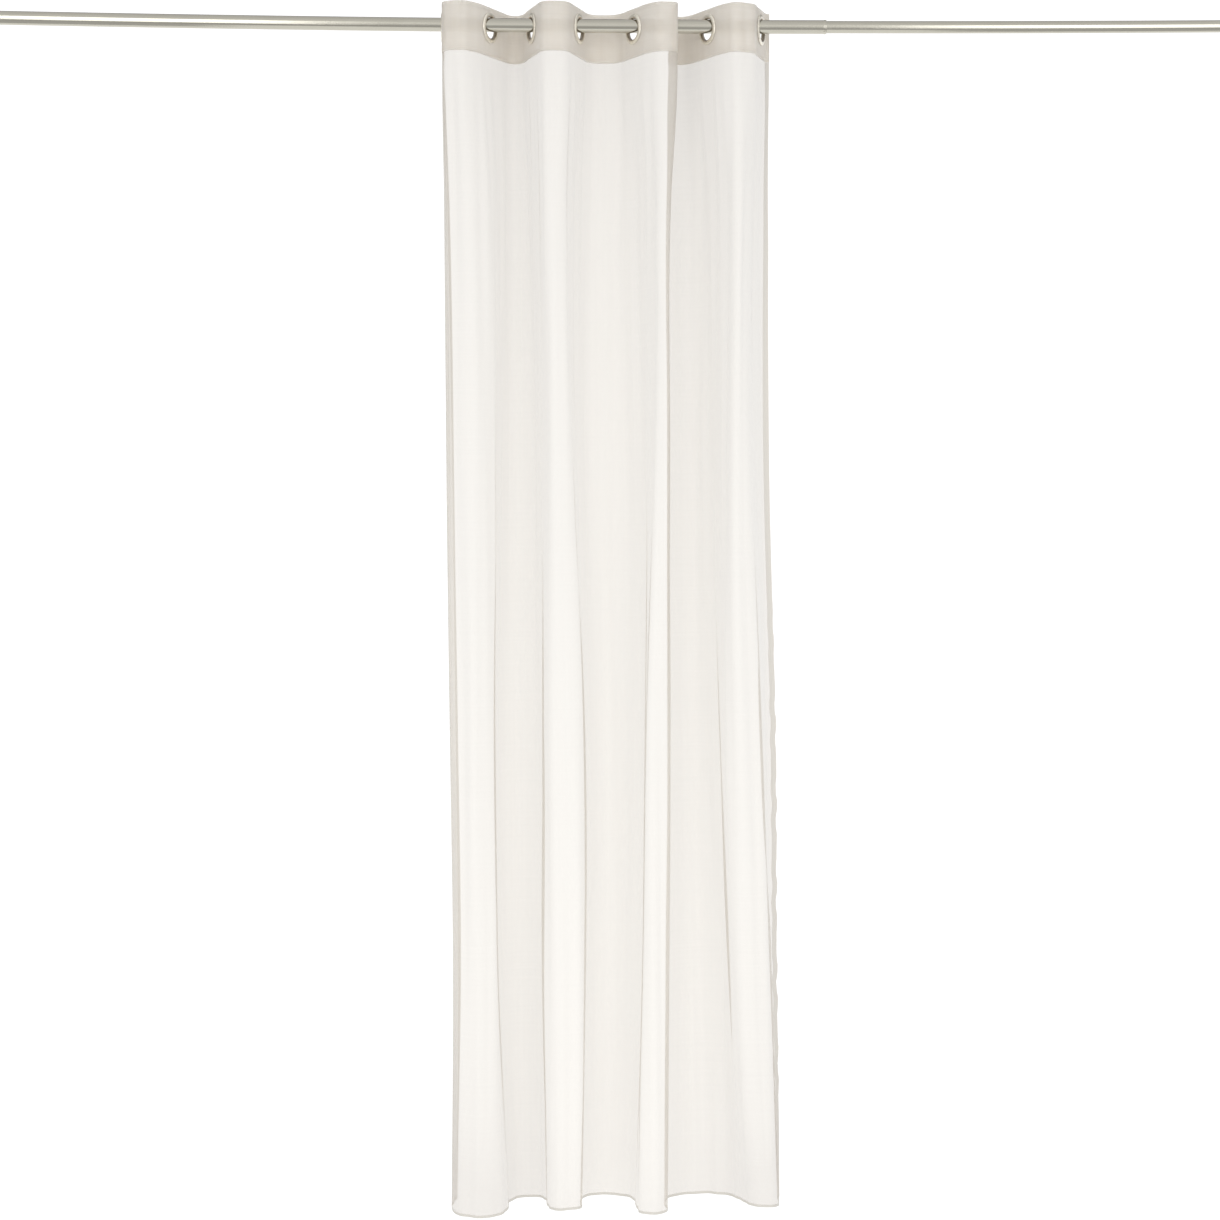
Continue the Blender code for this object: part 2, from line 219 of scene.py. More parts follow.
# Rod and eyelets
OUTER_TUBE_RADIUS = 0.0140
INNER_TUBE_RADIUS = 0.0125
LIP_RISE = 0.0006
LIP_LENGTH = 0.005
LIP_STEPS = 9
ROD_SAG = 0.009
ROD_BEVEL = 0.0006
END_SHARES = (0.70, 0.35, 0.02)
END_CLEAR = 0.002
LIP_CLEAR = 0.001
RING_SPACING = 0.08
RING_NEAR = 0.0015
SOCKET_SHOWN = 0.020
INNER_START = 0.018
SLIDING_GAP = 0.0004
HUB_RADIUS = 0.0003
TUBE_SIDES = 96
EYELET_SIDES = 96
EYELET_STEPS = 33
# Radius where the painted shade in the eyelets' bore begins, and the span over which it fades in
BORE_SHADE_FROM = 0.0262
BORE_SHADE_OVER = 0.0036
HOLE_RADIUS = 0.0243
PATCH_HALF = 0.0315
PATCH_CELLS = 16
PATCH_RINGS = 7

# Half of an eyelet's section, from the foot of its flange over the rim to the middle of the bore
EYELET_HALF = (
    {"along": 0.0012, "radius": 0.0240},
    {"along": 0.0011, "radius": 0.0300},
    {"along": 0.0016, "radius": 0.0309},
    {"along": 0.0027, "radius": 0.0304},
    {"along": 0.0038, "radius": 0.0282},
    {"along": 0.0041, "radius": 0.0256},
    {"along": 0.0037, "radius": 0.0231},
    {"along": 0.0024, "radius": 0.0215},
    {"along": 0.0000, "radius": 0.0211},
)

# The room's light at heights from straight down (-1) to straight up (+1)
ROOM_LIGHT = (
    (-0.77, 0.60),
    (-0.60, 0.50),
    (-0.30, 0.60),
    (-0.10, 0.95),
    (0.25, 0.98),
    (0.50, 0.92),
    (0.75, 0.86),
    (0.93, 0.80),
    (1.00, 0.72),
)

# How the room's light changes: at the sides, more towards the front and more straight up or down
SIDE_LIGHT = 0.46
FRONT_LIGHT = 0.75
UPRIGHT_LIGHT = 0.90

# The sweep: its narrow and wide floor, its bend and its top
FLOOR_FRONT = -1.50
FLOOR_WIDENS = (0.55, 0.60)
FLOOR_HALF_WIDTHS = (1.15, 9.00)
BEND_RADIUS = 1.20
BEND_RINGS = 24
BACKDROP_TOP = 1.00
SWEEP_TONE = 0.20

# Soft lights in front: where each stands, the point it is turned to, and its width and height
KEY_LIGHTS = (
    {"name": "key_left", "place": (-1.75, -5.0, -0.3), "aim": (0.0, 0.0, -0.3), "size": (1.4, 5.2)},
    {"name": "key_right", "place": (2.15, -5.0, -0.4), "aim": (0.0, 0.0, -0.4), "size": (1.5, 5.4)},
)

# Photograph and camera
PHOTO_PIXELS = 1220.0
METRES_PER_PIXEL = 0.0020485
CAMERA_DISTANCE = 5.20
CAMERA_YAW = math.radians(1.9)
ROD_ROW = 26.2
HORIZON_ROW = 565.0
SENSOR_WIDTH = 36.0


def cubic(t, start, start_slope, end, end_slope):
    """The cubic from start to end as t goes from 0 to 1, with the slope given at each."""
    return (
        (2 * t**3 - 3 * t**2 + 1) * start
        + (t**3 - 2 * t**2 + t) * start_slope
        + (3 * t**2 - 2 * t**3) * end
        + (t**3 - t**2) * end_slope
    )


def smooth_rows(depths, values, at):
    """Cubics through a row of table values, level at its start, read at many depths at once."""
    values = np.asarray(values, dtype=float)
    slopes = np.gradient(values, depths)
    slopes[0] = 0.0
    part = np.clip(np.searchsorted(depths, at) - 1, 0, len(depths) - 2)
    span = depths[part + 1] - depths[part]
    t = np.clip((at - depths[part]) / span, 0.0, 1.0)
    return cubic(t, values[part], span * slopes[part], values[part + 1], span * slopes[part + 1])


def points_of(x, y, z):
    """Points from their coordinates, each an array or a number, spread to one shape."""
    return np.stack(np.broadcast_arrays(x, y, z), axis=-1)


def way_of(turn, side):
    """Unit directions in plan at turns in degrees, to the room for side -1 and away for +1."""
    angle = np.radians(turn)
    return np.stack([np.cos(angle), side * np.sin(angle)], axis=-1)


def bend_curves(start, start_way, end, end_way, fullness):
    """Bends from start to end for all depths: cubics that leave and arrive along the given ways.

    A fullness up to 1 rounds the bend out from a chord to a half circle. Past 1 it is first
    carried on straight from both ends, by that much of the chord.
    """
    chord = np.linalg.norm(end - start, axis=1)
    run = (np.maximum(fullness - 1.0, 0.0) * chord)[:, None]
    first = start + run * start_way
    last = end - run * end_way
    pull = 2.0 * np.minimum(fullness, 1.0)[:, None] * np.linalg.norm(last - first, axis=1)[:, None]
    t = np.linspace(0.0, 1.0, BEND_STEPS)[None, :, None]
    arc = cubic(t, first[:, None], (pull * start_way)[:, None], last[:, None], (pull * end_way)[:, None])
    return np.concatenate([start[:, None], arc, end[:, None]], axis=1)


def lengths(curves):
    """Distance along each polyline of a stack, from its first point to each of its points."""
    steps = np.linalg.norm(np.diff(curves, axis=1), axis=2)
    return np.concatenate([np.zeros((len(curves), 1)), np.cumsum(steps, axis=1)], axis=1)


def bends_of_length(start, start_way, end, end_way, cloth):
    """The bends whose fullness, found by halving, makes each as long as the cloth that lies in it."""
    low = np.zeros(len(start))
    high = np.full(len(start), MOST_FULLNESS)
    for _ in range(HALVINGS):
        middle = 0.5 * (low + high)
        short = lengths(bend_curves(start, start_way, end, end_way, middle))[:, -1] < cloth
        low = np.where(short, middle, low)
        high = np.where(short, high, middle)
    return bend_curves(start, start_way, end, end_way, high)


def edge_strips(corner, out, turn_near, turn_far, side, cloth):
    """The strips from a flank to a side edge, whose turn goes evenly from near to far."""
    share = np.linspace(0.0, 1.0, EDGE_STEPS)[None, :]
    turns = turn_near[:, None] * (1.0 - share) + turn_far[:, None] * share
    steps = out * way_of(turns, side) * (cloth / EDGE_STEPS)[:, None, None]
    return corner[:, None] + np.concatenate([np.zeros_like(steps[:, :1]), np.cumsum(steps, axis=1)], axis=1)


class Folds:
    """The hung cloth as a function of width and depth, read from plans worked out at many depths."""

    def __init__(self):
        self.depths = np.linspace(HEADING_DEPTH, HEM_DEPTH + HEM_SPARE, PLAN_ROWS)
        self.widths = np.linspace(0.0, CLOTH_WIDTH, PLAN_COLUMNS)
        depths = self.depths
        places = [smooth_rows(DEPTHS, flank["place"], depths) for flank in FLANKS]
        turns = [smooth_rows(DEPTHS, flank["turn"], depths) for flank in FLANKS]
        left = smooth_rows(DEPTHS, LEFT_EDGE_TURN, depths)
        right = smooth_rows(DEPTHS, RIGHT_EDGE_TURN, depths)
        settled = smooth_rows(np.array([HEADING_DEPTH, SETTLE_DEPTH]), (0.0, 1.0), depths)
        half = FLAT_HALF_AT_ROD + settled * (FLAT_HALF_BELOW - FLAT_HALF_AT_ROD)
        sides = [-1.0 if index % 2 == 0 else 1.0 for index in range(EYELET_COUNT)]
        ways = [way_of(turn, side) for turn, side in zip(turns, sides)]
        centres = [np.stack([place, np.zeros_like(place)], axis=1) for place in places]
        mean_step = (places[-1] - places[0]) / (EYELET_COUNT - 1)
        run = half[:, None]
        strip = edge_strips(centres[0] - run * ways[0], -1.0, turns[0], left, -1.0, EDGE_MARGIN - half)
        runs = [strip[:, ::-1]]
        for index in range(EYELET_COUNT - 1):
            start = centres[index] + run * ways[index]
            end = centres[index + 1] - run * ways[index + 1]
            wider = places[index + 1] - places[index] - mean_step
            cloth = EYELET_PITCH + settled * CREEP * wider - 2.0 * half
            runs.append(bends_of_length(start, ways[index], end, ways[index + 1], cloth))
        last = centres[-1] + run * ways[-1]
        runs.append(edge_strips(last, 1.0, turns[-1], right, 1.0, EDGE_MARGIN - half))
        plans = np.concatenate(runs, axis=1)
        width = lengths(plans)
        width *= CLOTH_WIDTH / width[:, -1:]
        self.x = np.array([np.interp(self.widths, w, p[:, 0]) for w, p in zip(width, plans)])
        self.y = np.array([np.interp(self.widths, w, p[:, 1]) for w, p in zip(width, plans)])

    def base(self, width, depth):
        """Plan points at widths and depths, by straight-line reading between the worked-out plans."""
        row = np.clip((depth - self.depths[0]) / (self.depths[1] - self.depths[0]), 0, PLAN_ROWS - 1.001)
        column = np.clip(width / CLOTH_WIDTH * (PLAN_COLUMNS - 1), 0, PLAN_COLUMNS - 1.001)
        r, c = row.astype(int), column.astype(int)
        down, across = row - r, column - c

        def read(grid):
            top = grid[r, c] * (1 - across) + grid[r, c + 1] * across
            low = grid[r + 1, c] * (1 - across) + grid[r + 1, c + 1] * across
            return top * (1 - down) + low * down

        return read(self.x), read(self.y)

    def away(self, width, depth):
        """Unit direction in plan square to the cloth, on the side away from the room at its bends."""
        x0, y0 = self.base(np.clip(width - PLAN_STEP, 0, CLOTH_WIDTH), depth)
        x1, y1 = self.base(np.clip(width + PLAN_STEP, 0, CLOTH_WIDTH), depth)
        along = np.stack([x1 - x0, y1 - y0], axis=-1)
        along /= np.linalg.norm(along, axis=-1, keepdims=True)
        return np.stack([-along[..., 1], along[..., 0]], axis=-1)

    def relief(self, width, depth):
        """How far the cloth stands off its smooth folds: ripples, gathers, creases and puckers."""
        below = np.clip((depth - HEADING_DEPTH) / RELIEF_START, 0.0, 1.0)
        below = below * below * (3.0 - 2.0 * below)
        push = np.zeros_like(width)
        for ripple in RIPPLES:
            angle = 2 * np.pi * width / ripple["wave"] + ripple["drift"] * depth + ripple["phase"]
            wander = np.sin(RIPPLE_WANDER["down"] * depth + RIPPLE_WANDER["across"] * width)
            push += ripple["height"] * np.sin(angle + RIPPLE_WANDER["amount"] * wander)
        gather = np.exp(-((depth - HEADING_DEPTH) / GATHER_DEPTH) ** 2)
        wander = GATHER_WANDER["amount"] * np.sin(GATHER_WANDER["across"] * width)
        push += GATHER_HEIGHT * gather * np.sin(2 * np.pi * width / GATHER_WAVE + wander)
        for crease in CREASES:
            (w0, d0), (w1, d1) = crease["start"], crease["end"]
            share = np.clip((depth - d0) / (d1 - d0), 0.0, 1.0)
            taper = np.sin(np.pi * share) ** CREASE_TAPER
            off = (width - (w0 + share * (w1 - w0))) / crease["reach"]
            push += crease["push"] * taper * np.exp(-off * off)
        push *= below
        for flat in FLATS:
            off = (width - flat["middle"]) / flat["wave"]
            push += flat["height"] * np.cos(2 * np.pi * off) * np.exp(-((off / FLAT_REACH) ** 2))
        return push

    def at(self, width, depth):
        """Points of the cloth at widths and depths, both arrays of one shape."""
        x, y = self.base(width, depth)
        away = self.away(width, depth)
        push = self.relief(width, depth)
        near_edge = np.exp(-(((CLOTH_WIDTH - width) / PUCKER_REACH) ** 2))
        rise = np.clip((depth - PUCKER_RISE["depth"]) / PUCKER_RISE["over"], 0, 1)
        fade = np.clip((PUCKER_FADE["depth"] - depth) / PUCKER_FADE["over"], 0, 1)
        first, second = (2 * np.pi * depth / wave for wave in PUCKER_WAVES)
        wave = np.sin(first) + PUCKER_SECOND["share"] * np.sin(second + PUCKER_SECOND["phase"])
        pucker = PUCKER_HEIGHT * near_edge * rise * fade * wave
        return points_of(x + away[..., 0] * push + pucker, y + away[..., 1] * push, -depth)

    def hem(self, width):
        """Depth of the hem across the width, lower at some folds than at others."""
        bends = EDGE_MARGIN + EYELET_PITCH * (np.arange(EYELET_COUNT - 1) + 0.5)
        stations = np.concatenate([[0.0], bends, [CLOTH_WIDTH]])
        return HEM_DEPTH + smooth_rows(stations, HEM_DROPS, width)


FOLDS = Folds()


def grid_faces(rows, columns, closed=False):
    """Quads of a grid of points laid out row by row, the last column joined to the first if closed."""
    last = columns if closed else columns - 1
    r, c = np.meshgrid(np.arange(rows - 1), np.arange(last), indexing="ij")
    near = r * columns + c
    far = r * columns + (c + 1) % columns
    return np.stack([near, far, far + columns, near + columns], axis=-1).reshape(-1, 4)


def mesh_object(name, points, faces, smooth=True):
    """A mesh object at the origin from whole arrays of points and quads."""
    mesh = bpy.data.meshes.new(name)
    points = np.asarray(points, dtype=np.float32).reshape(-1, 3)
    faces = np.asarray(faces, dtype=np.int32)
    mesh.vertices.add(len(points))
    mesh.vertices.foreach_set("co", points.ravel())
    mesh.loops.add(faces.size)
    mesh.loops.foreach_set("vertex_index", faces.ravel())
    mesh.polygons.add(len(faces))
    mesh.polygons.foreach_set("loop_start", np.arange(0, faces.size, faces.shape[1], dtype=np.int32))
    mesh.polygons.foreach_set("use_smooth", np.full(len(faces), smooth))
    mesh.update(calc_edges=True)
    mesh.validate()
    obj = bpy.data.objects.new(name, mesh)
    bpy.context.scene.collection.objects.link(obj)
    return obj


def cloth_map(obj, width, depth):
    """Gives a cloth mesh its UV map: the share of the width across, and of the full drop down."""
    mesh = obj.data
    corner = np.empty(len(mesh.loops), dtype=np.int32)
    mesh.loops.foreach_get("vertex_index", corner)
    across = np.asarray(width).ravel()[corner] / CLOTH_WIDTH
    down = 1.0 - (np.asarray(depth).ravel()[corner] - TOP_DEPTH) / FULL_DROP
    layer = mesh.uv_layers.new(name="Cloth")
    layer.uv.foreach_set("vector", np.stack([across, down], axis=1).astype(np.float32).ravel())


def thicken(obj, thickness):
    """Closes a sheet by giving it its thickness to both sides."""
    solid = obj.modifiers.new("Cloth thickness", "SOLIDIFY")
    solid.thickness = thickness
    solid.offset = 0.0
    solid.use_even_offset = True


class Wire:
    """A value that varies over a surface. Python's operators on it add Math nodes to the graph."""

    def __init__(self, graph, socket):
        self.graph = graph
        self.socket = socket

    def __add__(self, other):
        return self.graph.math("ADD", self, other)

    __radd__ = __add__

    def __sub__(self, other):
        return self.graph.math("SUBTRACT", self, other)

    def __rsub__(self, other):
        return self.graph.math("SUBTRACT", other, self)

    def __mul__(self, other):
        return self.graph.math("MULTIPLY", self, other)

    __rmul__ = __mul__

    def __truediv__(self, other):
        return self.graph.math("DIVIDE", self, other)

    def __lt__(self, other):
        return self.graph.math("LESS_THAN", self, other)


class Graph:
    """The node tree of one material or world, with its main shader."""

    def __init__(self, owner):
        owner.use_nodes = True
        self.owner = owner
        self.tree = owner.node_tree
        self.shader = self.tree.nodes.get("Principled BSDF") or self.tree.nodes["Background"]

    def feed(self, socket, value):
        """Sets a socket to a number or colour, or links a wire or another socket to it."""
        if isinstance(value, Wire):
            self.tree.links.new(value.socket, socket)
        elif isinstance(value, bpy.types.NodeSocket):
            self.tree.links.new(value, socket)
        else:
            socket.default_value = value

    def node(self, kind, settings=None, stops=None, **values):
        """Adds a node: its settings first, then a ramp's stops, then the values of its sockets."""
        node = self.tree.nodes.new(kind)
        for key, value in (settings or {}).items():
            setattr(node, key, value)
        for index, (place, colour) in enumerate(stops or ()):
            ramp = node.color_ramp
            stop = ramp.elements[index] if index < len(ramp.elements) else ramp.elements.new(place)
            stop.position = place
            stop.color = colour
        for key, value in values.items():
            socket = node.inputs[int(key[1:])] if key[1:].isdigit() else node.inputs[key.replace("_", " ")]
            self.feed(socket, value)
        return node

    def math(self, operation, *values):
        """A Math node on wires and numbers."""
        node = self.node("ShaderNodeMath", {"operation": operation})
        for socket, value in zip(node.inputs, values):
            self.feed(socket, value)
        return Wire(self, node.outputs[0])

    def clamp(self, value):
        """A wire held between 0 and 1."""
        return Wire(self, self.node("ShaderNodeClamp", i0=value).outputs[0])

    def noise(self, vector, scale, detail=2.0, roughness=0.5):
        """Smooth noise from 0 to 1 on a vector socket."""
        node = self.node("ShaderNodeTexNoise", Vector=vector, Scale=scale, Detail=detail, Roughness=roughness)
        return Wire(self, node.outputs["Fac"])

    def stretched(self, vector, scale):
        """A vector socket scaled by its own factor along each axis."""
        return self.node("ShaderNodeMapping", Vector=vector, Scale=scale).outputs[0]

    def blend(self, share, first, second):
        """A colour between two colours, by a wire from 0 to 1."""
        node = self.node("ShaderNodeMix", {"data_type": "RGBA"}, i0=share, i6=first, i7=second)
        return node.outputs[2]

    def tint(self, share, first, second):
        """A colour between two colours of the settings, by a wire from 0 to 1."""
        return self.blend(share, (*first, 1.0), (*second, 1.0))

    def bump(self, height, strength, distance):
        """A normal from a height wire."""
        node = self.node("ShaderNodeBump", Strength=strength, Distance=distance, Height=height)
        return node.outputs[0]

    def finish(self, **values):
        """Sets or links the shader's own sockets, and returns the material or world."""
        for key, value in values.items():
            self.feed(self.shader.inputs[key.replace("_", " ")], value)
        return self.owner


def cloth_graph(name):
    """A graph with wires for the width and the drop of the cloth in metres, from its UV map."""
    graph = Graph(bpy.data.materials.new(name))
    cloth = graph.node("ShaderNodeUVMap", {"uv_map": "Cloth"}).outputs[0]
    parts = graph.node("ShaderNodeSeparateXYZ", Vector=cloth)
    width = Wire(graph, parts.outputs[0]) * CLOTH_WIDTH
    drop = (1.0 - Wire(graph, parts.outputs[1])) * FULL_DROP
    return graph, cloth, width, drop


class Weave:
    """Plain weave with slubs and streaks on a cloth graph, and what they add to its looks."""

    def __init__(self, graph, cloth, width, drop, pitch, looks):
        warp = graph.math("ABSOLUTE", graph.math("SINE", width * (math.pi / pitch)))
        weft = graph.math("ABSOLUTE", graph.math("SINE", drop * (math.pi / pitch)))
        self.threads = graph.math("MAXIMUM", warp, weft)
        self.slubs = graph.noise(graph.stretched(cloth, looks["slubs"]), 1.0, 3.0)
        self.streaks = graph.noise(graph.stretched(cloth, looks["streaks"]), 1.0, 3.0)
        self.height = self.threads + SLUB_HEIGHT * self.slubs

    def about(self, mean, amounts):
        """A wire that varies about a mean by so much thread, slub and streak."""
        threads, slubs, streaks = amounts
        varied = mean + slubs * (self.slubs - NOISE_MEAN) + streaks * (self.streaks - NOISE_MEAN)
        return varied + threads * (self.threads - THREAD_MEAN)


def voile_material(settings):
    """Plain-weave voile: fine threads with slubs, clearer between the threads and dense at the hems, with
    painted shade towards its top and foot.
    """
    graph, cloth, width, drop = cloth_graph("voile")
    weave = Weave(graph, cloth, width, drop, settings.thread_pitch, VOILE_LOOKS)
    edge = graph.math("MINIMUM", width, CLOTH_WIDTH - width)
    foot = (HEM_DEPTH - TOP_DEPTH) - drop
    bottom = foot < BOTTOM_HEM
    hems = graph.math("MAXIMUM", edge < SIDE_HEM, bottom)
    cover = weave.about(settings.cover, VOILE_LOOKS["cover"])
    # Painted shade: the tone darkens under the heading and towards the foot, most at the foot's corners
    top = TOP_PAINTED_SHADE["amount"] * graph.math("POWER", math.e, drop * -TOP_PAINTED_SHADE["fade"])
    low = graph.math("POWER", math.e, foot * -FOOT_PAINTED_SHADE["fade"])
    side = width * (2.0 / CLOTH_WIDTH) - 1.0
    low = low * (FOOT_PAINTED_SHADE["amount"] + FOOT_PAINTED_SHADE["corners"] * side * side)
    tone = graph.clamp(weave.about(VOILE_TONE, VOILE_LOOKS["tone"]) - top - low)
    colour = graph.tint(tone, settings.voile_shade, settings.voile_colour)
    at_hems = HEM_TINT["all"] * hems + HEM_TINT["bottom"] * bottom
    return graph.finish(
        Base_Color=graph.blend(at_hems, colour, (*settings.hem_colour, 1.0)),
        Roughness=0.82,
        Alpha=graph.clamp(cover + hems * settings.hem_cover),
        Normal=graph.bump(weave.height, 0.25, WEAVE_HEIGHT),
        Sheen_Weight=0.15,
        Sheen_Roughness=0.5,
        Specular_IOR_Level=0.25,
    )


def heading_material(settings):
    """Doubled voile over a stiffener: the same weave, dense and warmer, with a little glow through."""
    graph, cloth, width, drop = cloth_graph("heading")
    weave = Weave(graph, cloth, width, drop, settings.thread_pitch, HEADING_LOOKS)
    tone = graph.clamp(weave.about(HEADING_TONE, HEADING_LOOKS["tone"]))
    colour = graph.tint(tone, settings.heading_shade, settings.heading_colour)
    return graph.finish(
        Base_Color=colour,
        Roughness=0.80,
        Alpha=graph.clamp(weave.about(settings.heading_cover, HEADING_LOOKS["cover"])),
        Normal=graph.bump(weave.height, 0.30, WEAVE_HEIGHT),
        Subsurface_Weight=0.6,
        Subsurface_Radius=(1.0, 0.95, 0.88),
        Subsurface_Scale=0.004,
        Sheen_Weight=0.15,
        Sheen_Roughness=0.5,
        Specular_IOR_Level=0.25,
    )


def thread_material(settings):
    """Spun sewing thread: its twist as a fine ripple in tone and height."""
    graph = Graph(bpy.data.materials.new("thread"))
    place = graph.node("ShaderNodeTexCoord").outputs["Object"]
    twist = graph.noise(place, TWIST_SCALE, 1.0)
    colour = graph.tint(twist, settings.voile_shade, settings.voile_colour)
    return graph.finish(Base_Color=colour, Roughness=0.7, Normal=graph.bump(twist, 0.4, 0.0001))


def nickel_material(settings):
    """Satin nickel: brushed grain along the rod and cloudy wear, in Object coordinates."""
    graph = Graph(bpy.data.materials.new("rod_nickel"))
    place = graph.node("ShaderNodeTexCoord").outputs["Object"]
    brush = graph.noise(graph.stretched(place, BRUSH_GRAIN), 1.0, 3.0) - NOISE_MEAN
    cloud = graph.noise(place, CLOUD_SCALE) - NOISE_MEAN
    tone = graph.clamp(0.5 + BRUSH_SHARE["tone"] * brush + CLOUD_SHARE["tone"] * cloud)
    uneven = BRUSH_SHARE["roughness"] * brush + CLOUD_SHARE["roughness"] * cloud
    colour = graph.tint(tone, settings.nickel_shade, settings.nickel_colour)
    return graph.finish(
        Base_Color=colour,
        Metallic=1.0,
        Roughness=settings.nickel_roughness + uneven,
        Normal=graph.bump(brush, 0.05, 0.0002),
    )


def eyelet_material(settings):
    """Metallised rings: pale and soft at the rim, with painted shade inside the bore, where the metal is also
    fully metallic.
    """
    graph = Graph(bpy.data.materials.new("eyelet_nickel"))
    place = graph.node("ShaderNodeTexCoord").outputs["Object"]
    grain = graph.noise(place, EYELET_GRAIN["scale"])
    bore = Wire(graph, graph.node("ShaderNodeAttribute", {"attribute_name": "bore"}).outputs["Fac"])
    rim = graph.tint(grain, settings.rim_shade, settings.rim_colour)
    return graph.finish(
        # The bore's dark colour is painted shade, faded in by the bore attribute
        Base_Color=graph.blend(bore, rim, (*settings.bore_painted_shade, 1.0)),
        Metallic=RIM_METAL + (1.0 - RIM_METAL) * bore,
        Roughness=settings.nickel_roughness + RIM_SOFTER + EYELET_GRAIN["roughness"] * (grain - NOISE_MEAN),
        Normal=graph.bump(grain, 0.04, 0.0001),
    )


def dress(obj, material, slot, *nodes):
    """Gives a piece its material and body, and hides the solids that it stands for; its slot is not used."""
    obj.data.materials.clear()
    obj.data.materials.append(material)
    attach(obj, BODY)
    if nodes:
        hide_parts(*nodes)


def even_between(*marks):
    """Even steps through (value, cells) marks: the value at each grid line."""
    lines = [np.array([marks[0][0]])]
    for (start, _), (end, cells) in zip(marks, marks[1:]):
        lines.append(np.linspace(start, end, cells + 1)[1:])
    return np.concatenate(lines)


def make_panel(settings):
    """The voile from the heading's foot to the hem, as Folds.at(width, depth) on a grid."""
    cells = PANEL_CELLS
    across = even_between(
        (0.0, 0),
        (SIDE_HEM, cells["side_hem"]),
        (CLOTH_WIDTH - SIDE_HEM, cells["across"]),
        (CLOTH_WIDTH, cells["side_hem"]),
    )
    down = even_between((0.0, 0), (1.0 - BOTTOM_HEM / PANEL_DROP, cells["down"]), (1.0, cells["bottom_hem"]))
    top = HEADING_DEPTH + PANEL_TOP_GAP
    width, share = np.meshgrid(across, down)
    depth = top + share * (FOLDS.hem(width) - top)
    obj = mesh_object("voile_panel_cloth", FOLDS.at(width, depth), grid_faces(len(down), len(across)))
    cloth_map(obj, width, top + share * (HEM_DEPTH - top))
    dress(obj, voile_material(settings), "voile", "voile_panel")
    return obj


def hole_patch(centre_width, centre_depth):
    """Width and depth of the points between a square patch's rim and an eyelet's hole."""
    side = np.linspace(-1.0, 1.0, PATCH_CELLS + 1)[:-1]
    one = np.ones_like(side)
    square = np.concatenate(
        [np.stack(pair, axis=1) for pair in ((side, -one), (one, side), (-side, one), (-one, -side))]
    )
    angle = np.arctan2(square[:, 1], square[:, 0])
    circle = HOLE_RADIUS * np.stack([np.cos(angle), np.sin(angle)], axis=1)
    share = np.linspace(0.0, 1.0, PATCH_RINGS + 1)[:, None, None]
    ring = PATCH_HALF * square * (1.0 - share) + circle * share
    return centre_width + ring[..., 0], centre_depth + ring[..., 1]


def make_heading(settings):
    """The stiffened band along the top: a grid with a round-holed patch at each eyelet."""
    centre = EDGE_MARGIN + EYELET_PITCH * np.arange(EYELET_COUNT)
    cells = HEADING_CELLS
    marks = [(0.0, 0), (centre[0] - PATCH_HALF, cells["edge"])]
    for place in centre:
        marks.append((place + PATCH_HALF, PATCH_CELLS))
        marks.append((place + EYELET_PITCH - PATCH_HALF, cells["between"]))
    marks[-1] = (CLOTH_WIDTH, cells["edge"])
    across = even_between(*marks)
    top, low = EYELET_DEPTH - PATCH_HALF, EYELET_DEPTH + PATCH_HALF
    down = even_between(
        (TOP_DEPTH, 0), (top, cells["above"]), (low, PATCH_CELLS), (HEADING_DEPTH, cells["below"])
    )
    width, depth = np.meshgrid(across, down)
    faces = grid_faces(len(down), len(across))
    mid_width = width.ravel()[faces].mean(axis=1)
    mid_depth = depth.ravel()[faces].mean(axis=1)
    near = np.abs(mid_width[:, None] - centre[None, :]).min(axis=1) < PATCH_HALF
    faces = faces[~(near & (mid_depth > top) & (mid_depth < low))]
    widths, depths, quads = [width.ravel()], [depth.ravel()], [faces]
    count = width.size
    ring_faces = grid_faces(PATCH_RINGS + 1, 4 * PATCH_CELLS, closed=True)
    for place in centre:
        patch_width, patch_depth = hole_patch(place, EYELET_DEPTH)
        widths.append(patch_width.ravel())
        depths.append(patch_depth.ravel())
        quads.append(ring_faces + count)
        count += patch_width.size
    width, depth = np.concatenate(widths), np.concatenate(depths)
    obj = mesh_object("heading_band_cloth", FOLDS.at(width, depth), np.concatenate(quads))
    cloth_map(obj, width, depth)
    weld = obj.modifiers.new("Patch seams", "WELD")
    weld.merge_threshold = WELD_REACH
    thicken(obj, HEADING_THICKNESS)
    dress(obj, heading_material(settings), "heading", "heading_band")
    return obj


